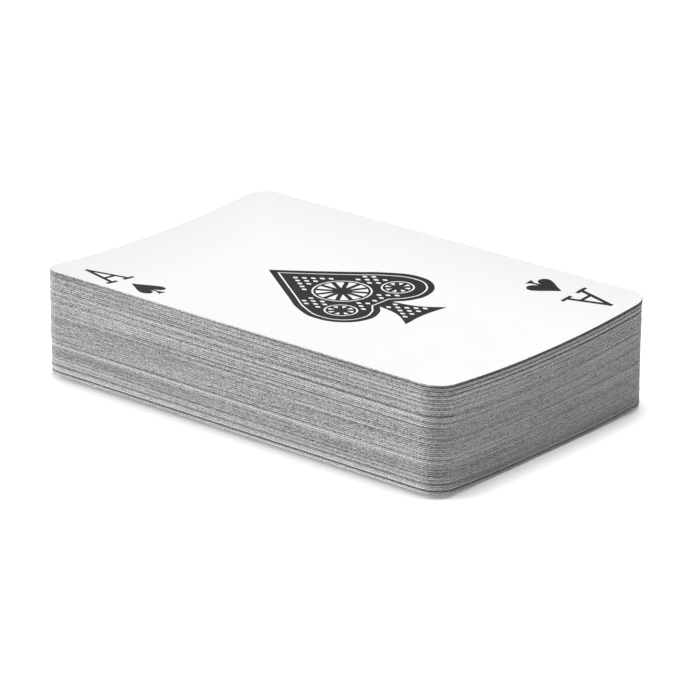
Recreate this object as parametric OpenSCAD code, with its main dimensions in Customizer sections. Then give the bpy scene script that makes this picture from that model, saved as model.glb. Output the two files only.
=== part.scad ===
// Playing card deck: a loose stack of bridge-size cards lying face up, squared by hand.
// X runs along the cards, Y across them and Z up. The origin lies under the middle of the deck.
// Every card is bowed across its width: its middle lies flat and its long edges rise in two arcs.
// Its section is the same all along X, so each card can be drawn out between its neighbours.

/* [Card] */
// Length of a card
card_l = 88; // [60:0.5:120]
// Width of a card
card_w = 57; // [40:0.5:90]
// Radius of a card's corners
corner_r = 4; // [1:0.1:10]
// Thickness of the card stock
card_t = 0.28; // [0.2:0.01:0.6]

/* [Bow] */
// Rise of the bottom card's long edges above its flat middle
bow_bottom = 0.78; // [0.2:0.02:3]
// Rise of the top card's long edges above its flat middle
bow_top = 1.5; // [0.2:0.02:3]
// Width of the bottom card's flat middle, which the deck's weight presses on the table
flat_bottom = 14; // [4:0.5:30]
// Width of the top card's flat middle
flat_top = 2; // [1:0.5:30]
// How far the top card's flat middle lies in front of the deck's centre line
lean_top = 1.5; // [-4:0.1:4]

/* [Squaring] */
// Air between two neighbouring cards
air_gap = 0.05; // [0.04:0.005:0.2]
// Most that one card strays from its packet, along and across the deck
card_stray = 0.04; // [0:0.01:0.3]
// Most that one card is turned from its packet, in degrees
card_turn = 0.03; // [0:0.01:0.2]

/* [Hidden] */
RANKS = ["ace", "two", "three", "four", "five", "six", "seven", "eight", "nine", "ten", "jack", "queen", "king"];
SUITS = ["spades", "hearts", "clubs", "diamonds"];
// The cards from the top of the deck down
NODES = concat([for (suit = SUITS) for (rank = RANKS) str(rank, "_of_", suit)], ["black_joker", "red_joker"]);

card_count = len(NODES);

// Packets that the last shuffle left together, from the bottom up. Each row gives the packet's
// first card, counted from 0 at the bottom, the extra air under it, its slip along and across
// the deck, and its turn in degrees.
packets = [
    [0, 0, 0, 0.05, 0],
    [2, 0.12, 0.04, -0.05, 0.02],
    [5, 0.08, 0, 0.03, 0],
    [17, 0.08, -0.02, -0.03, 0.03],
    [33, 0.06, 0.02, -0.06, -0.03],
    [39, 0.03, -0.02, 0, 0.03],
    [46, 0.04, -0.06, -0.01, -0.06],
    [49, 0.08, 0.02, -0.02, -0.04],
    [51, 0.03, 0.06, -0.01, -0.04],
    [53, 0.06, 0.1, -0.02, -0.03],
];
FIRST = 0;
AIR = 1;
SLIP_L = 2;
SLIP_W = 3;
TURN = 4;

// Steps, in degrees, that scatter the cards within their packets
SCATTER_L = 97;
SCATTER_W = 61;
SCATTER_TURN = 83;

// Facets of the round corners and of the wide arcs of the bow
CORNER_FN = 48;
BOW_FN = 256;

// Spare material around a card before it is cut to its outline
trim = 2;

// The packet that a card belongs to
function packet(level) = max([for (p = [0 : len(packets) - 1]) if (packets[p][FIRST] <= level) p]);

// The extra air under a packet and under all those below it
function loose_air(p) = p < 0 ? 0 : packets[p][AIR] + loose_air(p - 1);

// Height of a card's lowest line
function base(level) = level * (card_t + air_gap) + loose_air(packet(level));

// A value that changes evenly from the bottom card to the top one
function graded(bottom, top, level) = bottom + (top - bottom) * level / (card_count - 1);

// A length to a hundredth of a millimetre, so that the flat middle and its arcs meet edge to edge
function to_hundredth(length) = round(length * 100) / 100;

// Rise of a card's long edges, half its flat middle, and the run and radius of its two arcs
function bow(level) = graded(bow_bottom, bow_top, level);
function flat_half(level) = to_hundredth(graded(flat_bottom, flat_top, level) / 2);
function arc_run(level) = card_w / 2 - flat_half(level);
function arc_r(level) = to_hundredth((arc_run(level) * arc_run(level) / bow(level) + bow(level)) / 2);

// A number from -1 to 1 that shows no order from card to card
function scatter(level, step) = sin(level * level * step);

function slip_l(level) = packets[packet(level)][SLIP_L] + card_stray * scatter(level, SCATTER_L);
function slip_w(level) = packets[packet(level)][SLIP_W] + card_stray * scatter(level, SCATTER_W);
function turn(level) = packets[packet(level)][TURN] + card_turn * scatter(level, SCATTER_TURN);

// Outline of one card
module outline() {
    square([card_l - 2 * corner_r, card_w], center = true);
    square([card_l, card_w - 2 * corner_r], center = true);
    for (sx = [-1, 1], sy = [-1, 1])
        translate([sx * (card_l / 2 - corner_r), sy * (card_w / 2 - corner_r)])
            circle(r = corner_r, $fn = CORNER_FN);
}

// Section of the bowed sheet that a card is cut from, with Y to the right and Z up
module section(level) {
    half = flat_half(level);
    r = arc_r(level);
    translate([-half, 0])
        square([2 * half, card_t]);
    for (side = [0, 1])
        mirror([side, 0])
            translate([half, 0])
                intersection() {
                    translate([0, -trim])
                        square([arc_run(level) + 2 * trim, card_t + 2 * bow(level) + 2 * trim]);
                    translate([0, r])
                        difference() {
                            circle(r = r, $fn = BOW_FN);
                            circle(r = r - card_t, $fn = BOW_FN);
                        }
                }
}

// One card, lying at its level in the deck
module card(level) {
    sheet_l = card_l + 2 * trim;
    color("whitesmoke")
        intersection() {
            translate([slip_l(level), slip_w(level), base(level) - trim])
                rotate(turn(level))
                    linear_extrude(card_t + 2 * bow(level) + 2 * trim)
                        outline();
            translate([-sheet_l / 2, -graded(0, lean_top, level), base(level)])
                rotate([90, 0, 90])
                    linear_extrude(sheet_l)
                        section(level);
        }
}

for (n = [0 : card_count - 1])
    card(card_count - 1 - n);
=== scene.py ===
import math

import bmesh
import bpy
from mathutils import Matrix, Vector


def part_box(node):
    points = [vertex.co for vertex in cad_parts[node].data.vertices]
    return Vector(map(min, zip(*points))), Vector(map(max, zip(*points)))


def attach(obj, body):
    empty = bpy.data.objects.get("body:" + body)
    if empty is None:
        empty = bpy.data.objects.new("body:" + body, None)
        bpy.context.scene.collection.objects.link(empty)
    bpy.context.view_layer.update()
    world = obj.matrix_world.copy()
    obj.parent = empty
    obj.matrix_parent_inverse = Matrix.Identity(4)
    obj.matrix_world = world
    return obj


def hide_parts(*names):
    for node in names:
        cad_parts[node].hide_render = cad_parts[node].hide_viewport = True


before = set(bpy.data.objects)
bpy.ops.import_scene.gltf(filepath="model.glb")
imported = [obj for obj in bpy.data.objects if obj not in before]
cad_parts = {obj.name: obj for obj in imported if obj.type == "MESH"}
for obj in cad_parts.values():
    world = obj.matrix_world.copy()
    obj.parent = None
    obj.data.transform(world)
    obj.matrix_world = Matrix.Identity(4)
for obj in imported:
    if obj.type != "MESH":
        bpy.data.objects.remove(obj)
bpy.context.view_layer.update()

# Card blanks. Each card is two papers pasted together, coated on both faces and punched out with
# round corners. Fifty-four lie in the deck, from the red joker at the bottom up to the ace of
# spades, each one bowed up along its long edges.
MM = 0.001
CARD_L, CARD_W, CORNER_R, CARD_T = 88 * MM, 57 * MM, 4 * MM, 0.28 * MM
PUNCHED_EDGE = 0.09 * MM
# Rise of the long edges, half the flat middle, and how far that lies in front of the centre line,
# in millimetres, each at the bottom card and at the top one
BOW, FLAT_HALF, LEAN = (0.78, 1.5), (7, 1), (0, 1.5)
BEND_STRIP, STRIPS_A_SIDE = 1.9 * MM, 14
# Turn in degrees of each packet that a shuffle left together, by its lowest card
PACKET_TURNS = {
    0: 0, 2: 0.02, 5: 0, 17: 0.03, 33: -0.03, 39: 0.03, 46: -0.06, 49: -0.04, 53: -0.03,
}
# Most that one card is turned from its packet, and the step in degrees that scatters the cards
CARD_TURN, SCATTER_TURN = 0.03, 83
# Height from card to card in the flattened deck that the materials are laid out on
LAY_APART = 0.4 * MM

deck = sorted(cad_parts, key=lambda name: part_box(name)[0].z)
places = [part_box(name) for name in deck]


def graded(bottom, top, level):
    """A value that changes evenly from the bottom card to the top one."""
    return bottom + (top - bottom) * level / (len(deck) - 1)


def bowed(level, y, height):
    """Height over the table of a point that lies `height` above the underside of a bowed card."""
    bow = graded(*BOW, level) * MM
    flat = graded(*FLAT_HALF, level) * MM
    run = CARD_W / 2 - flat
    radius = (run * run / bow + bow) / 2
    away = max(abs(y + graded(*LEAN, level) * MM) - flat, 0)
    return places[level][0].z + radius - math.sqrt((radius - height) ** 2 - away ** 2)


def lay(bm, level):
    """Lays a flat shape on its card in the deck, cuts it in strips and bends it with the card."""
    low, high = places[level]
    packet = max(first for first in PACKET_TURNS if first <= level)
    stray = CARD_TURN * math.sin(math.radians(level * level * SCATTER_TURN))
    turned = Matrix.Rotation(math.radians(PACKET_TURNS[packet] + stray), 4, "Z")
    bm.transform(Matrix.Translation((*((low + high) / 2).xy, 0)) @ turned)
    for strip in range(-STRIPS_A_SIDE, STRIPS_A_SIDE + 1):
        whole = bm.verts[:] + bm.edges[:] + bm.faces[:]
        line = (0, strip * BEND_STRIP, 0)
        bmesh.ops.bisect_plane(bm, geom=whole, plane_co=line, plane_no=(0, 1, 0))
    lay_flat = bm.verts.layers.float_vector.new("lay_flat")
    for vert in bm.verts:
        vert[lay_flat] = vert.co + Vector((0, 0, level * LAY_APART))
        vert.co.z = bowed(level, vert.co.y, vert.co.z)


def thicken(bm, thickness):
    """Makes flat faces a closed solid of some thickness."""
    raised = bmesh.ops.extrude_face_region(bm, geom=bm.faces[:])["geom"]
    upper = [part for part in raised if isinstance(part, bmesh.types.BMVert)]
    bmesh.ops.translate(bm, vec=(0, 0, thickness), verts=upper)
    bmesh.ops.recalc_face_normals(bm, faces=bm.faces[:])


def piece(name, bm, body, materials):
    """Makes a named piece that rides on its card."""
    mesh = bpy.data.meshes.new(name)
    bm.to_mesh(mesh)
    bm.free()
    for material in materials:
        mesh.materials.append(material)
    made = bpy.data.objects.new(name, mesh)
    bpy.context.scene.collection.objects.link(made)
    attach(made, body)
    return made


def linear(colour):
    """The linear colour of an sRGB hex value."""
    channels = [int(colour[i:i + 2], 16) / 255 for i in (1, 3, 5)]
    return (*[c / 12.92 if c <= 0.04045 else ((c + 0.055) / 1.055) ** 2.4 for c in channels], 1)


def add(material, kind, sockets, **settings):
    """Adds a node with its settings, and fills or links its sockets."""
    made = material.node_tree.nodes.new("ShaderNode" + kind)
    for name, value in settings.items():
        setattr(made, name, value)
    for socket, value in sockets.items():
        if isinstance(value, bpy.types.NodeSocket):
            material.node_tree.links.new(value, made.inputs[socket])
        else:
            made.inputs[socket].default_value = value
    return made


def new_material(name):
    """A node material and the shader that it ends in."""
    material = bpy.data.materials.new(name)
    material.use_nodes = True
    return material, material.node_tree.nodes["Principled BSDF"]


# Coated card face: clay-coated paper under a satin varnish, pressed smooth. It is white, with a
# faint cloudiness, a painted shade of grey along its back edge and its left end, and a soft
# gleam that breaks up over the fibres underneath.
CLOUD, FIBRE, FIBRE_RELIEF = 14 * MM, 0.35 * MM, 0.01 * MM
# Where the painted shade begins, towards the back edge and towards the left end
BACK_SHADE_START, LEFT_SHADE_START = 8 * MM, -24 * MM


def varnish(material, shader, place, tint):
    """Gives coated paper its tint and a satin varnish that shows the fibres underneath."""
    fibre = add(material, "TexNoise", {"Vector": place, "Scale": 1 / FIBRE, "Detail": 3.0})
    bump = add(material, "Bump", {
        "Height": fibre.outputs["Fac"], "Strength": 0.25, "Distance": FIBRE_RELIEF})
    material.node_tree.links.new(tint, shader.inputs["Base Color"])
    material.node_tree.links.new(bump.outputs["Normal"], shader.inputs["Normal"])
    shader.inputs["Roughness"].default_value = 0.42
    shader.inputs["IOR"].default_value = 1.5


coated_face, shader = new_material("coated_card_face")
place = add(coated_face, "Attribute", {}, attribute_name="lay_flat").outputs["Vector"]
cloud = add(coated_face, "TexNoise", {"Vector": place, "Scale": 1 / CLOUD, "Detail": 3.0})
clean = add(coated_face, "Mix", {
    "Factor": cloud.outputs["Fac"], "A": linear("#f5f5f5"), "B": linear("#fafafa"),
}, data_type="RGBA").outputs["Result"]
xyz = add(coated_face, "SeparateXYZ", {"Vector": place}).outputs
# Painted shade: the face greys towards its back edge and its left end
edge = add(coated_face, "MapRange", {
    "Value": xyz["Y"], "From Min": BACK_SHADE_START, "From Max": CARD_W / 2}).outputs[0]
end = add(coated_face, "MapRange", {
    "Value": xyz["X"], "From Min": LEFT_SHADE_START, "From Max": -CARD_L / 2}).outputs[0]
painted_shade = add(coated_face, "Math", {0: edge, 1: end}, operation="MAXIMUM").outputs[0]
tint = add(coated_face, "Mix", {
    "Factor": painted_shade, "A": clean, "B": linear("#ededed"),
}, data_type="RGBA").outputs["Result"]
varnish(coated_face, shader, place, tint)

# Printed back: the same coated paper with a dark grey lattice inside a white border.
LATTICE, LATTICE_LINE, BORDER = 2.2 * MM, 0.2, 3.5 * MM
printed_back, shader = new_material("printed_card_back")
place = add(printed_back, "Attribute", {}, attribute_name="lay_flat").outputs["Vector"]
xyz = add(printed_back, "SeparateXYZ", {"Vector": place}).outputs
lines = []
for sign in (1, -1):
    across = add(printed_back, "Math", {
        0: xyz["Y"], 1: sign / LATTICE, 2: 0.0}, operation="MULTIPLY_ADD").outputs[0]
    slant = add(printed_back, "Math", {
        0: xyz["X"], 1: 1 / LATTICE, 2: across}, operation="MULTIPLY_ADD").outputs[0]
    ridge = add(printed_back, "Math", {0: slant, 1: 1.0}, operation="PINGPONG").outputs[0]
    lines.append(add(printed_back, "Math", {
        0: ridge, 1: LATTICE_LINE}, operation="GREATER_THAN").outputs[0])
lozenge = add(printed_back, "Math", {0: lines[0], 1: lines[1]}, operation="MULTIPLY").outputs[0]
within = []
for axis, half in (("X", CARD_L / 2 - BORDER), ("Y", CARD_W / 2 - BORDER)):
    reach = add(printed_back, "Math", {0: xyz[axis]}, operation="ABSOLUTE").outputs[0]
    within.append(add(printed_back, "Math", {0: reach, 1: half}, operation="LESS_THAN").outputs[0])
bordered = add(printed_back, "Math", {0: within[0], 1: within[1]}, operation="MULTIPLY").outputs[0]
inked = add(printed_back, "Math", {0: bordered, 1: lozenge}, operation="MULTIPLY").outputs[0]
tint = add(printed_back, "Mix", {
    "Factor": inked, "A": linear("#f5f5f5"), "B": linear("#55585c"),
}, data_type="RGBA").outputs["Result"]
varnish(printed_back, shader, place, tint)

# Cut edge: the bare paper of the card's core, sheared by the punch. It is duller than the faces,
# streaked along the cut, and holds a few dark specks of dust. Every card has its own tone, which
# drifts along its edge. Painted shade darkens it towards the gaps above and below it, and painted
# highlights and more painted shade lie along some of its edges. Real streaks and specks
# are finer than shows at this size, so they are drawn coarse enough to be seen.
STREAK_L, STREAK_H, STREAK_CONTRAST = 0.35 * MM, 0.12 * MM, 3.2
DRIFT_L, DRIFT_CONTRAST = 40 * MM, 1.0
SPECK, STREAK_RELIEF = 0.22 * MM, 0.02 * MM
cut_edge, shader = new_material("cut_card_edge")
place = add(cut_edge, "Attribute", {}, attribute_name="lay_flat").outputs["Vector"]
shaded_tone = add(cut_edge, "Attribute", {}, attribute_name="edge_tone_and_shade").outputs["Fac"]
along = add(cut_edge, "Mapping", {
    "Vector": place, "Scale": (1 / STREAK_L, 1 / STREAK_L, 1 / STREAK_H)}).outputs[0]
streak = add(cut_edge, "TexNoise", {
    "Vector": along, "Scale": 1.0, "Detail": 4.0, "Roughness": 0.7}).outputs["Fac"]
streaked = add(cut_edge, "Math", {
    0: streak, 1: STREAK_CONTRAST, 2: -STREAK_CONTRAST / 2}, operation="MULTIPLY_ADD").outputs[0]
far_along = add(cut_edge, "Mapping", {
    "Vector": place, "Scale": (1 / DRIFT_L, 1 / DRIFT_L, 1 / LAY_APART)}).outputs[0]
drift = add(cut_edge, "TexNoise", {"Vector": far_along, "Scale": 1.0, "Detail": 1.0}).outputs["Fac"]
drifted = add(cut_edge, "Math", {
    0: drift, 1: DRIFT_CONTRAST, 2: -DRIFT_CONTRAST / 2}, operation="MULTIPLY_ADD").outputs[0]
uneven = add(cut_edge, "Math", {0: streaked, 1: drifted}, operation="ADD").outputs[0]
shaded_level_tone = add(cut_edge, "Math", {
    0: uneven, 1: shaded_tone}, operation="ADD", use_clamp=True).outputs[0]
# Painted shade and painted highlights reach the edge's colour here, through its tone
paper = add(cut_edge, "Mix", {
    "Factor": shaded_level_tone, "A": linear("#3a3a3a"), "B": linear("#f2f2f2"),
}, data_type="RGBA").outputs["Result"]
speck = add(cut_edge, "TexNoise", {"Vector": place, "Scale": 1 / SPECK, "Detail": 2.0})
dust = add(cut_edge, "MapRange", {
    "Value": speck.outputs["Fac"], "From Min": 0.67, "From Max": 0.71}).outputs["Result"]
tint = add(cut_edge, "Mix", {
    "Factor": dust, "A": paper, "B": linear("#4a4a4a"),
}, data_type="RGBA").outputs["Result"]
bump = add(cut_edge, "Bump", {"Height": streak, "Strength": 0.5, "Distance": STREAK_RELIEF})
cut_edge.node_tree.links.new(tint, shader.inputs["Base Color"])
cut_edge.node_tree.links.new(bump.outputs["Normal"], shader.inputs["Normal"])
shader.inputs["Roughness"].default_value = 0.85
shader.inputs["IOR"].default_value = 1.45

# Painted shade at the gaps, by the card above them, the last being the air over the top card: how
# deep it is at the left and the right of the deck's front, and away from the front. The rims beside
# a shaded gap get deeper painted shade, and the edges between two of them a painted highlight.
GAP_SHADES = {
    0: (0.5, 0.5, 0.4), 2: (1.8, 2.6, 0.8), 5: (1.6, 1.8, 0.2), 9: (0, 0.3, 0),
    12: (0.2, 0.2, 0.2), 15: (0, 0, 0.3), 17: (0.45, 0.5, 0), 25: (0, 0.4, 0), 33: (0, 1, 0),
    39: (0.1, 0.6, 0), 42: (0.3, 0, 0), 45: (0.1, 0.55, 0.1), 49: (0, 0.2, 1.5),
    51: (0, 0.3, 1.3), 53: (0.2, 1.1, 2.2), 54: (0, 0.6, 1.2),
}
# Painted shade at every rim, its depth per step of a gap's shade, and the painted highlight beside a
# shaded gap
RIM_SHADE, GAP_SHADE_DEPTH, GAP_HIGHLIGHT = 0.35, 1.2, 0.2
# Tone of an edge and its spread from card to card, the cards with a painted highlight along the
# front while the rest carry a little painted shade there, and the painted shade on some away from it
EDGE_TONE, TONE_SPREAD, TONE_SCATTER = 0.79, 0.05, 1.7
HIGHLIT_EDGES, FRONT_HIGHLIGHT, FRONT_SHADE = (0, 1, 2, 3, 4, 7, 15, 33, 37, 43), 0.15, -0.05
# Painted shade away from the front, on the lowest cards and on the top card
SHADED_BACK_EDGES = {2: 0.18, 3: 0.18, 4: 0.12, 5: 0.06, 53: 0.8}
# Faces whose normals rise or fall more steeply than this are a card's face or back
FACE_SLOPE = 0.99


def frontness(place):
    """1 along the deck's front, and 0 from a little behind it to the back."""
    return max(0.5 - place.y / CARD_W, 0) ** 12


def gap_shade(level, place):
    """How deep the painted shade is at the gap under a card."""
    left, right, back = GAP_SHADES.get(level, (0, 0, 0))
    front = left + (right - left) * (place.x / CARD_L + 0.5)
    return front * frontness(place) + back * (1 - frontness(place))


for level, name in enumerate(deck):
    bm = bmesh.new()
    blank = Matrix.Diagonal((CARD_L, CARD_W, 1, 1))
    bmesh.ops.create_grid(bm, x_segments=1, y_segments=1, size=0.5, matrix=blank)
    bmesh.ops.bevel(bm, geom=bm.verts[:], offset=CORNER_R, affect="VERTICES", segments=10,
                    profile=0.5, material=-1)
    thicken(bm, CARD_T)
    rims = [edge for edge in bm.edges if edge.calc_face_angle() > 1]
    bmesh.ops.bevel(bm, geom=rims, offset=PUNCHED_EDGE, affect="EDGES", segments=3,
                    profile=0.5, material=-1)
    for face in bm.faces:
        up = face.normal.z
        face.material_index = 0 if up > FACE_SLOPE else 1 if up < -FACE_SLOPE else 2
        face.smooth = True
    for edge in bm.edges:
        edge.smooth = len({face.material_index for face in edge.link_faces}) == 1
    lay(bm, level)
    lay_flat = bm.verts.layers.float_vector["lay_flat"]
    edge_tone_and_shade = bm.verts.layers.float.new("edge_tone_and_shade")
    card_tone = EDGE_TONE + TONE_SPREAD * math.sin(level * level * TONE_SCATTER + level)
    # Painted highlight along the front of some cards, and a little painted shade along the front of
    # the rest
    front_painted_light = FRONT_HIGHLIGHT if level in HIGHLIT_EDGES else FRONT_SHADE
    # Each vertex's tone: the card's own, with painted light added and painted shade taken away
    for vert in bm.verts:
        height = (vert[lay_flat].z - level * LAY_APART) / CARD_T
        below, above = gap_shade(level, vert.co), gap_shade(level + 1, vert.co)
        # Painted shade darkens each rim, the more so beside a shaded gap
        shade_below = (RIM_SHADE + GAP_SHADE_DEPTH * below) * (1 - height) ** 3
        shade_above = (RIM_SHADE + GAP_SHADE_DEPTH * above) * height ** 3
        painted_light = front_painted_light * frontness(vert.co) + GAP_HIGHLIGHT * (below + above)
        # Painted shade on the edges away from the front
        painted_back_shade = SHADED_BACK_EDGES.get(level, 0) * (1 - frontness(vert.co))
        vert[edge_tone_and_shade] = card_tone + painted_light - (shade_below + shade_above) - painted_back_shade
    card = piece(name + "_card", bm, name, (coated_face, printed_back, cut_edge))
    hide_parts(name)

# Indices. Rank letters and small suit pips are printed in two corners of every card, the second
# pair upside down. The ink is a film far thinner than the paper, printed a little off the punch.
INK_FILM = 0.012 * MM
OFF_PUNCH = Matrix.Translation((1.2 * MM, -0.75 * MM, CARD_T)) @ Matrix.Rotation(math.pi / 2, 4, "Z")
# Places on the card, sizes and widths of strokes are in millimetres, and pips are scaled
INDEX_X, RANK_Y, PIP_Y, PIP_SCALE = -22.5, 31.1, 25.2, 0.716
STROKE, STROKE_LIFT = 0.72, 0.0006
ARC_STEP = 12
# Points and lines closer than this count as one
HAIR = 0.001 * MM

# Offset ink, black and red: a matt, slightly mottled film that lets a trace of the paper through.
MOTTLE = 0.4 * MM
inks = {}
for colour, thick, thin in (("black", "#1c1c1c", "#282828"), ("red", "#a3101b", "#b52630")):
    ink, shader = new_material(f"{colour}_offset_ink")
    place = add(ink, "Attribute", {}, attribute_name="lay_flat").outputs["Vector"]
    mottle = add(ink, "TexNoise", {"Vector": place, "Scale": 1 / MOTTLE, "Detail": 3.0})
    tint = add(ink, "Mix", {
        "Factor": mottle.outputs["Fac"], "A": linear(thick), "B": linear(thin)}, data_type="RGBA")
    ink.node_tree.links.new(tint.outputs["Result"], shader.inputs["Base Color"])
    shader.inputs["Roughness"].default_value = 0.6
    shader.inputs["Specular IOR Level"].default_value = 0.06
    inks[colour] = ink


def draw(bm, strokes, width=STROKE):
    """Draws bars, given by their two ends, and arcs, by centre, radius and angles, in millimetres.

    Each stroke lies a hair above the last, so that strokes may cross.
    """
    for order, stroke in enumerate(strokes):
        lift = order * STROKE_LIFT
        if len(stroke) == 4:
            start, end = Vector((*stroke[:2], 0)), Vector((*stroke[2:], 0))
            turned = (end - start).to_track_quat("X", "Z").to_matrix().to_4x4()
            place = Matrix.Translation((start + end) / 2 + Vector((0, 0, lift)))
            size = Matrix.Diagonal(((end - start).length + width, width, 1, 1))
            bmesh.ops.create_grid(bm, x_segments=1, y_segments=1, size=0.5,
                                  matrix=Matrix.Scale(MM, 4) @ place @ turned @ size)
        else:
            x, y, radius, start, end = stroke
            centre = Vector((x, y, lift)) * MM
            outward = Matrix.Rotation(math.radians(start), 3, "Z") @ Vector((MM, 0, 0))
            verts = [bm.verts.new(centre + outward * (radius + side * width / 2))
                     for side in (-1, 1)]
            edge = bm.edges.new(verts)
            bmesh.ops.spin(bm, geom=[*verts, edge], cent=centre, axis=(0, 0, 1),
                           angle=math.radians(end - start),
                           steps=math.ceil(abs(end - start) / ARC_STEP),
                           use_merge=abs(end - start) == 360)


# Slab-serif letters and figures, 8.3 mm tall over a base line at 0, as bars and arcs
RANKS = {
    "ace": ((-2.05, 0.3, 0, 8), (2.05, 0.3, 0, 8), (-1.35, 2.8, 1.35, 2.8),
            (-2.95, 0.3, -1.15, 0.3), (1.15, 0.3, 2.95, 0.3)),
    "two": ((0, 6.05, 1.95, 170, -38), (1.54, 4.85, -1.95, 0.6), (-1.95, 0.3, 2, 0.3),
            (2, 0.3, 2, 1.1)),
    "three": ((-0.1, 6.15, 1.85, 155, -90), (-0.1, 2.3, 2, 90, -155)),
    "four": ((0.9, 0.3, 0.9, 8), (0.9, 8, -2.2, 2.6), (-2.2, 2.6, 2.2, 2.6), (0.1, 0.3, 1.7, 0.3)),
    "five": ((-1.6, 7.95, 1.7, 7.95), (-1.6, 7.95, -1.8, 4), (-0.1, 2.55, 2.25, 140, -150)),
    "six": ((0, 2.4, 2.1, 0, 360), (2.7, 2.6, 4.8, 180, 105)),
    "seven": ((-2, 8, 2, 8), (2, 8, -0.6, 0.3), (-2, 8, -2, 7.2)),
    "eight": ((0, 6.15, 1.8, 0, 360), (0, 2.35, 2.05, 0, 360)),
    "nine": ((0, 5.9, 2.1, 0, 360), (-2.7, 5.7, 4.8, 0, -75)),
    "ten": ((-2.2, 0.3, -2.2, 8), (-3, 0.3, -1.4, 0.3), (-2.2, 8, -3, 7.2), (1.4, 6.5, 1.5, 0, 180),
            (-0.1, 6.5, -0.1, 1.8), (2.9, 6.5, 2.9, 1.8), (1.4, 1.8, 1.5, 180, 360)),
    "jack": ((1, 8, 1, 2.2), (0, 8, 2, 8), (-0.7, 2.2, 1.7, 0, -165)),
    "queen": ((0, 6, 2, 0, 180), (-2, 6, -2, 2.3), (2, 6, 2, 2.3), (0, 2.3, 2, 180, 360),
              (0.7, 1.7, 2.2, 0)),
    "king": ((-1.6, 0.3, -1.6, 8), (-1.4, 3.6, 1.5, 7.9), (-0.5, 5, 1.8, 0.5),
             (-2.3, 0.3, -0.9, 0.3), (-2.3, 8, -0.9, 8), (1.1, 0.3, 2.5, 0.3), (0.8, 8, 2.2, 8)),
}


def filled(name, half):
    """A flat face from the right half of an outline, in millimetres; True marks smooth points."""
    curve = bpy.data.curves.new(name, "CURVE")
    curve.dimensions = "2D"
    curve.fill_mode = "BOTH"
    curve.resolution_u = 6
    outline = half + [(-x, y, smooth) for x, y, smooth in reversed(half) if x > 0]
    spline = curve.splines.new("BEZIER")
    spline.use_cyclic_u = True
    spline.bezier_points.add(len(outline) - 1)
    for point, (x, y, smooth) in zip(spline.bezier_points, outline):
        point.co = (x * MM, y * MM, 0)
        point.handle_left_type = point.handle_right_type = "AUTO" if smooth else "VECTOR"
    drawn = bpy.data.objects.new(name, curve)
    bpy.context.scene.collection.objects.link(drawn)
    evaluated = drawn.evaluated_get(bpy.context.evaluated_depsgraph_get())
    shape = bpy.data.meshes.new_from_object(evaluated)
    bpy.data.objects.remove(drawn)
    bm = bmesh.new()
    bm.from_mesh(shape)
    bmesh.ops.remove_doubles(bm, verts=bm.verts[:], dist=HAIR)
    bmesh.ops.dissolve_faces(bm, faces=bm.faces[:])
    bm.to_mesh(shape)
    bm.free()
    return shape


# Suit pips, 10 mm tall about their middle
PIPS = {
    "spades": filled("spade_pip", [
        (0, 5, False), (1.6, 2.4, True), (3.2, -0.1, True), (3.77, -1.8, True), (3.2, -3.1, True),
        (2.2, -3.5, True), (1.1, -2.9, True), (0.4, -1.6, False), (0.45, -3.6, True),
        (1.25, -5, False)]),
    "hearts": filled("heart_pip", [
        (0, 3, False), (0.9, 4.4, True), (2.4, 5, True), (3.9, 4, True), (4.2, 2.2, True),
        (3, -0.8, True), (0, -5, False)]),
    "clubs": filled("club_pip", [
        (0, 5, True), (1.6, 4.35, True), (2.3, 2.7, True), (1.75, 1.2, True), (0.95, 0.6, False),
        (2.35, 1.15, True), (4, 0.5, True), (4.65, -1.15, True), (4, -2.75, True),
        (2.35, -3.4, True), (0.95, -2.6, True), (0.3, -1.4, False), (0.35, -3.7, True),
        (1, -5, False)]),
    "diamonds": filled("diamond_pip", [(0, 5, False), (3.6, 0, False), (0, -5, False)]),
}


def stamp(bm, shape, x, y, scale=1, turn=0):
    """Adds a flat shape to a card's print, in millimetres from the card's middle and degrees."""
    old = set(bm.verts)
    bm.from_mesh(shape)
    turned = Matrix.Rotation(math.radians(turn), 4, "Z")
    place = Matrix.Translation((x * MM, y * MM, 0)) @ turned @ Matrix.Scale(scale, 4)
    bmesh.ops.transform(bm, matrix=place, verts=[vert for vert in bm.verts if vert not in old])


def twice(bm, drawing):
    """Repeats a drawing upside down on the other half of the card."""
    for turn in (0, math.pi):
        old = set(bm.verts)
        drawing(bm)
        fresh = [vert for vert in bm.verts if vert not in old]
        turned = Matrix.Rotation(turn, 3, "Z")
        bmesh.ops.rotate(bm, cent=(0, 0, 0), matrix=turned, verts=fresh)


def index(bm, rank, pip):
    """Prints a rank with its suit pip below it in the upper left corner."""
    strokes = []
    for stroke in RANKS[rank]:
        points = 4 if len(stroke) == 4 else 2
        placed = [a + b for a, b in zip(stroke[:points], (INDEX_X, RANK_Y, INDEX_X, RANK_Y))]
        strokes.append([*placed, *stroke[points:]])
    draw(bm, strokes)
    stamp(bm, pip, INDEX_X, PIP_Y, PIP_SCALE)


def press(name, bm, colour):
    """Makes the flat shapes of a card's print a film of ink that bends with the card."""
    thicken(bm, INK_FILM)
    bmesh.ops.transform(bm, matrix=OFF_PUNCH, verts=bm.verts[:])
    lay(bm, deck.index(name))
    piece(name + "_print", bm, name, (inks[colour],))


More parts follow.
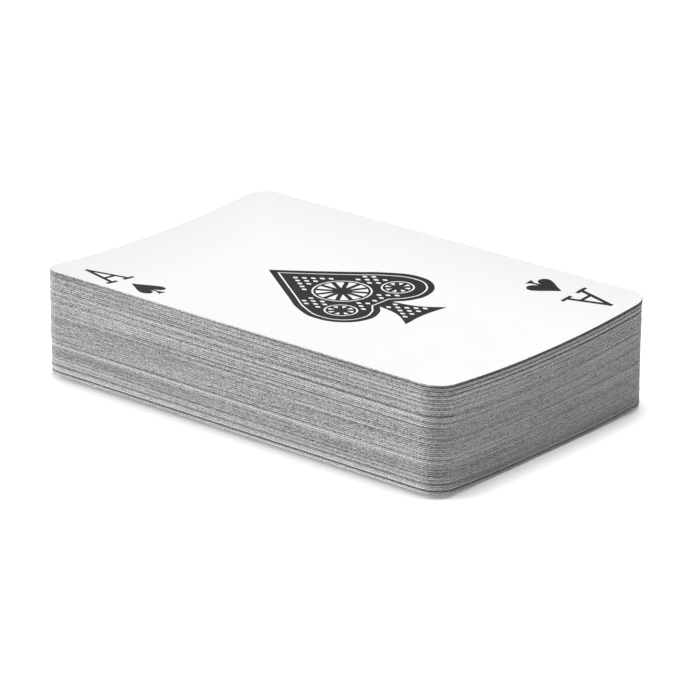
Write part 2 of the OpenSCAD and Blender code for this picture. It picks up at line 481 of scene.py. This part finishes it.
# Suit cards. Number cards carry their pips in the traditional rows, the lower ones upside down,
# and three aces one large pip. Court cards carry a double-ended crown in a ruled frame.
COLUMN_X = 11.5
SIDE_AND_MIDDLE_ROWS = {
    "two": ((), (27, -27)), "three": ((), (27, 0, -27)),
    "four": ((27, -27), ()), "five": ((27, -27), (0,)),
    "six": ((27, 0, -27), ()), "seven": ((27, 0, -27), (13.5,)),
    "eight": ((27, 0, -27), (13.5, -13.5)),
    "nine": ((27, 9, -9, -27), (0,)), "ten": ((27, 9, -9, -27), (18, -18)),
}
ROW_PIP_SCALE, ACE_PIP_SCALE = 1.15, 2.4
FRAME_X, FRAME_Y, FRAME_LINE = 16.5, 33, 0.5
MIDDLE_RULE = 0.8
CROWN_TIPS = {"jack": 1, "queen": 3, "king": 5}
CROWN_X, CROWN_BAND, CROWN_Y, CROWN_RISE = 6, 15.5, 17.5, 5
PEARL_Y, PEARL_R = 1.1, 0.5


def court(bm, tips, pip):
    """Draws the upper half of a court card: frame, crown and pips."""
    draw(bm, [
        (-FRAME_X, FRAME_Y, FRAME_X, FRAME_Y),
        (-FRAME_X, FRAME_Y, -FRAME_X, -FRAME_Y),
        (-FRAME_X, MIDDLE_RULE, FRAME_X, MIDDLE_RULE),
    ], width=FRAME_LINE)
    edge = [(-CROWN_X + CROWN_X * step / tips, CROWN_Y + step % 2 * CROWN_RISE)
            for step in range(2 * tips + 1)]
    bands = [(-CROWN_X, y, CROWN_X, y) for y in (CROWN_BAND, CROWN_Y)]
    draw(bm, [(*low, *high) for low, high in zip(edge, edge[1:])] + bands)
    draw(bm, [(x, y + PEARL_Y, PEARL_R, 0, 360) for x, y in edge[1::2]], width=FRAME_LINE)
    stamp(bm, pip, 0, 8, 1.1)
    stamp(bm, pip, -COLUMN_X, 27, 0.7)


for name in deck:
    rank, _, suit = name.partition("_of_")
    if suit and name != "ace_of_spades":
        bm = bmesh.new()
        twice(bm, lambda half: index(half, rank, PIPS[suit]))
        sides, middle = SIDE_AND_MIDDLE_ROWS.get(rank, ((), ()))
        spots = [(x, y) for x in (-COLUMN_X, COLUMN_X) for y in sides] + [(0, y) for y in middle]
        for x, y in spots:
            stamp(bm, PIPS[suit], x, y, ROW_PIP_SCALE, turn=180 if y < 0 else 0)
        if rank == "ace":
            stamp(bm, PIPS[suit], 0, 0, ACE_PIP_SCALE)
        if rank in CROWN_TIPS:
            twice(bm, lambda half: court(half, CROWN_TIPS[rank], PIPS[suit]))
        press(name, bm, "red" if suit in ("hearts", "diamonds") else "black")

# Jokers. Each carries one large star in a ring of lozenges, and a small star in two corners. They
# are printed in one ink, black or red, as the suit cards are.
CORNER_STAR_Y, CORNER_STAR_SCALE, STAR_SCALE = 35, 0.8, 2.6
RING_R, RING_STEP, RING_LOZENGE_SCALE = 17, 30, 0.36
star = filled("star", [
    (0, 5, False), (1.18, 1.62, False), (4.76, 1.55, False), (1.9, -0.62, False),
    (2.94, -4.05, False), (0, -2, False)])
for name in ("black_joker", "red_joker"):
    bm = bmesh.new()
    twice(bm, lambda half: stamp(half, star, INDEX_X, CORNER_STAR_Y, CORNER_STAR_SCALE))
    stamp(bm, star, 0, 0, STAR_SCALE)
    for turn in range(0, 360, RING_STEP):
        x, y = Matrix.Rotation(math.radians(turn), 2) @ Vector((0, RING_R))
        stamp(bm, PIPS["diamonds"], x, y, RING_LOZENGE_SCALE, turn=turn)
    press(name, bm, name.split("_")[0])

# Ace of spades. One large spade fills the middle: a solid rim, a bare line inside it, a dark field
# strewn with small bare lozenges, and three wheels with bare windows, all in black ink.
APEX = 17.5
RIM, BARE_LINE = 1.15, 0.3
LOZENGE_STEP, LOZENGE_FRAME, LOZENGE_ANGLES, LOZENGE_LINES = 1.45, 0.36, (35, 145), 20
# Least area of a whole lozenge, in squares of the step, and the band left dark around a wheel
WHOLE_LOZENGE, WHEEL_MARGIN = 1.05, 0.9
# Centre, radius and count of cuts from side to side of each wheel
WHEELS = ((0, APEX - 16.6, 5.2, 6), (-7.5, APEX - 22.7, 2.9, 4), (7.5, APEX - 22.7, 2.9, 4))
SPOKE = 0.4
WHEEL_SIDES = 48
HOLE_STEP, HOLE_REACH = 15, 2
head = filled("spade_head", [(x, APEX - down, smooth) for x, down, smooth in (
    (0, 0, False), (4.2, 5.95, True), (8.35, 11.8, True), (11.8, 16.8, True), (13.65, 22.1, True),
    (12.3, 26.7, True), (7.9, 29.05, True), (4, 28.2, True), (1.67, 26.4, False),
    (0, 26.4, False))])
stem = filled("spade_stem", [(x, APEX - down, smooth) for x, down, smooth in (
    (0, 26, False), (1.6, 26, False), (1.75, 27.2, True), (2.7, 31, True), (5.4, 35.1, False),
    (0, 34.5, True))])


def inset(shape, width, keep_rim):
    """The rim of a flat shape, or what is left inside it."""
    bm = bmesh.new()
    bm.from_mesh(shape)
    middle = bm.faces[:]
    rim = bmesh.ops.inset_region(bm, faces=middle, thickness=width * MM, use_even_offset=True,
                                 use_boundary=True)["faces"]
    bmesh.ops.delete(bm, geom=middle if keep_rim else rim, context="FACES")
    return bm


def cut(bm, faces, centre, angle, distance):
    """Cuts flat faces along a line at some distance from a point, square to an angle in degrees."""
    normal = Matrix.Rotation(math.radians(angle), 3, "Z") @ Vector((1, 0, 0))
    parts = list({part for face in faces for part in (face, *face.edges, *face.verts)})
    bmesh.ops.bisect_plane(bm, geom=parts, dist=HAIR, plane_no=normal,
                           plane_co=(centre + normal * distance) * MM)


def pierce(bm, faces, frame_width):
    """Leaves the middle of flat faces bare."""
    thickness = frame_width * MM
    bmesh.ops.inset_individual(bm, faces=faces, thickness=thickness, use_even_offset=True)
    bmesh.ops.delete(bm, geom=faces, context="FACES")


def near(bm, centre, reach):
    """The faces that lie within reach of a point, in millimetres."""
    return [face for face in bm.faces if (face.calc_center_median() / MM - centre).length < reach]


def strewn(bm):
    """Strews a flat field with bare lozenges that keep clear of its outline and of the wheels."""
    for angle in LOZENGE_ANGLES:
        for step in range(-LOZENGE_LINES, LOZENGE_LINES + 1):
            cut(bm, bm.faces, Vector((0, 0, 0)), angle, step * LOZENGE_STEP)
    taken = {face for x, y, radius, _ in WHEELS
             for face in near(bm, Vector((x, y, 0)), radius + WHEEL_MARGIN)}
    least = WHOLE_LOZENGE * (LOZENGE_STEP * MM) ** 2
    whole = [face for face in bm.faces if face.calc_area() > least and face not in taken]
    pierce(bm, whole, LOZENGE_FRAME)
    return bm


field = strewn(inset(head, RIM + BARE_LINE, keep_rim=False))
parts = [inset(head, RIM, keep_rim=True), field]
for x, y, radius, cuts in WHEELS:
    centre = Vector((x, y, 0))
    for angle in range(0, 360, HOLE_STEP):
        cut(field, near(field, centre, radius + HOLE_REACH), centre, angle, radius)
    bmesh.ops.delete(field, geom=near(field, centre, radius), context="FACES")
    wheel = bmesh.new()
    bmesh.ops.create_circle(wheel, cap_ends=True, segments=WHEEL_SIDES,
                            radius=(radius - BARE_LINE) * MM,
                            matrix=Matrix.Translation(centre * MM))
    for turn in range(cuts):
        cut(wheel, wheel.faces, centre, turn * 180 / cuts, 0)
    pierce(wheel, wheel.faces[:], SPOKE)
    parts.append(wheel)
lower = bmesh.new()
lower.from_mesh(stem)
bmesh.ops.translate(lower, vec=(0, 0, HAIR), verts=lower.verts[:])
parts.append(strewn(lower))
bm = bmesh.new()
for part in parts:
    shape = bpy.data.meshes.new("spade_part")
    part.to_mesh(shape)
    part.free()
    stamp(bm, shape, 0, 0)
twice(bm, lambda half: index(half, "ace", PIPS["spades"]))
press("ace_of_spades", bm, "black")

# Table: a plain white board that the deck lies on. It keeps the deck's soft shadow and runs out
# of sight on every side. Where it lies open it is lifted to the white of the room around it; close
# to the deck the lift fades with its ambient occlusion, which paints a contact shadow there.
TABLE_HALF = 2
SHADOW_REACH = 8 * MM


def looked_at(owner):
    """1 for rays that look at a surface, straight or through a gloss, and 0 for light's own."""
    rays = add(owner, "LightPath", {}).outputs
    seen = rays["Is Camera Ray"]
    for kind in ("Is Glossy Ray", "Is Transmission Ray"):
        seen = add(owner, "Math", {0: seen, 1: rays[kind]}, operation="MAXIMUM").outputs[0]
    return seen


board, shader = new_material("white_table_board")
# Painted shadow: the white lift fades where the deck hides the sky, within the shadow's reach
open_sky = add(board, "AmbientOcclusion", {"Distance": SHADOW_REACH}, samples=16).outputs["AO"]
white_and_painted_shadow = add(board, "MapRange", {
    "Value": open_sky, "From Min": 0.5, "From Max": 0.91, "To Min": 0.2, "To Max": 0.74}).outputs[0]
lift = add(board, "Math", {0: looked_at(board), 1: white_and_painted_shadow}, operation="MULTIPLY").outputs[0]
shader.inputs["Base Color"].default_value = linear("#e7e7e7")
shader.inputs["Roughness"].default_value = 1
shader.inputs["Specular IOR Level"].default_value = 0
shader.inputs["Emission Color"].default_value = (1, 1, 1, 1)
board.node_tree.links.new(lift, shader.inputs["Emission Strength"])
bm = bmesh.new()
bmesh.ops.create_grid(bm, x_segments=1, y_segments=1, size=TABLE_HALF)
mesh = bpy.data.meshes.new("table")
bm.to_mesh(mesh)
bm.free()
mesh.materials.append(board)
table = bpy.data.objects.new("table", mesh)
bpy.context.scene.collection.objects.link(table)

# Studio light: a wide soft lamp overhead, a smaller one low on the left of the deck's front, a weak
# one that stands for the backdrop behind it, and a white room around them that sheds little light.
ROOM_LIGHT, ROOM_WHITE = 0.12, 1.0
# Strength of each lamp, its spread in degrees, and the direction that it stands in
LAMPS = {
    "overhead_softbox": (1.62, 70, (0, 0.25, 1)),
    "side_softbox": (2.28, 40, (-0.7, -0.5, 0.5)),
    "backdrop_softbox": (0.25, 30, (-0.335, 0.92, 0.21)),
}
world = bpy.data.worlds.new("white_room")
bpy.context.scene.world = world
world.use_nodes = True
background = world.node_tree.nodes["Background"]
strength = add(world, "Mix", {
    "Factor": looked_at(world), "A": ROOM_LIGHT, "B": ROOM_WHITE}, data_type="FLOAT").outputs[0]
background.inputs["Color"].default_value = (1, 1, 1, 1)
world.node_tree.links.new(strength, background.inputs["Strength"])
for name, (energy, spread, direction) in LAMPS.items():
    lamp = bpy.data.lights.new(name, "SUN")
    lamp.energy = energy
    lamp.angle = math.radians(spread)
    softbox = bpy.data.objects.new(name, lamp)
    softbox.rotation_euler = Vector(direction).to_track_quat("Z", "Y").to_euler()
    bpy.context.scene.collection.objects.link(softbox)

# Camera: a long lens a little above the deck, to the right of its front, that looks at its near
# right corner and is tilted by a hair. Its place is given along its own axes, in millimetres.
LENS, SENSOR = 210.6, 36
SIDEWAYS, UPWARDS, DISTANCE = 1.26, 6.9, 703
azimuth, elevation, roll = math.radians(40), math.radians(20.56), math.radians(0.42)
back = Vector((math.sin(azimuth) * math.cos(elevation), -math.cos(azimuth) * math.cos(elevation),
               math.sin(elevation)))
level_right = Vector((0, 0, 1)).cross(back).normalized()
level_up = back.cross(level_right)
right = level_right * math.cos(roll) + level_up * math.sin(roll)
up = level_up * math.cos(roll) - level_right * math.sin(roll)
camera = bpy.data.objects.new("camera", bpy.data.cameras.new("camera"))
camera.data.lens = LENS
camera.data.sensor_width = SENSOR
camera.data.clip_start = 0.01
camera.matrix_world = Matrix((right, up, back)).transposed().to_4x4()
camera.location = right * SIDEWAYS * MM + up * UPWARDS * MM + back * DISTANCE * MM
bpy.context.scene.collection.objects.link(camera)
bpy.context.scene.camera = camera
bpy.context.scene.view_settings.view_transform = "Standard"
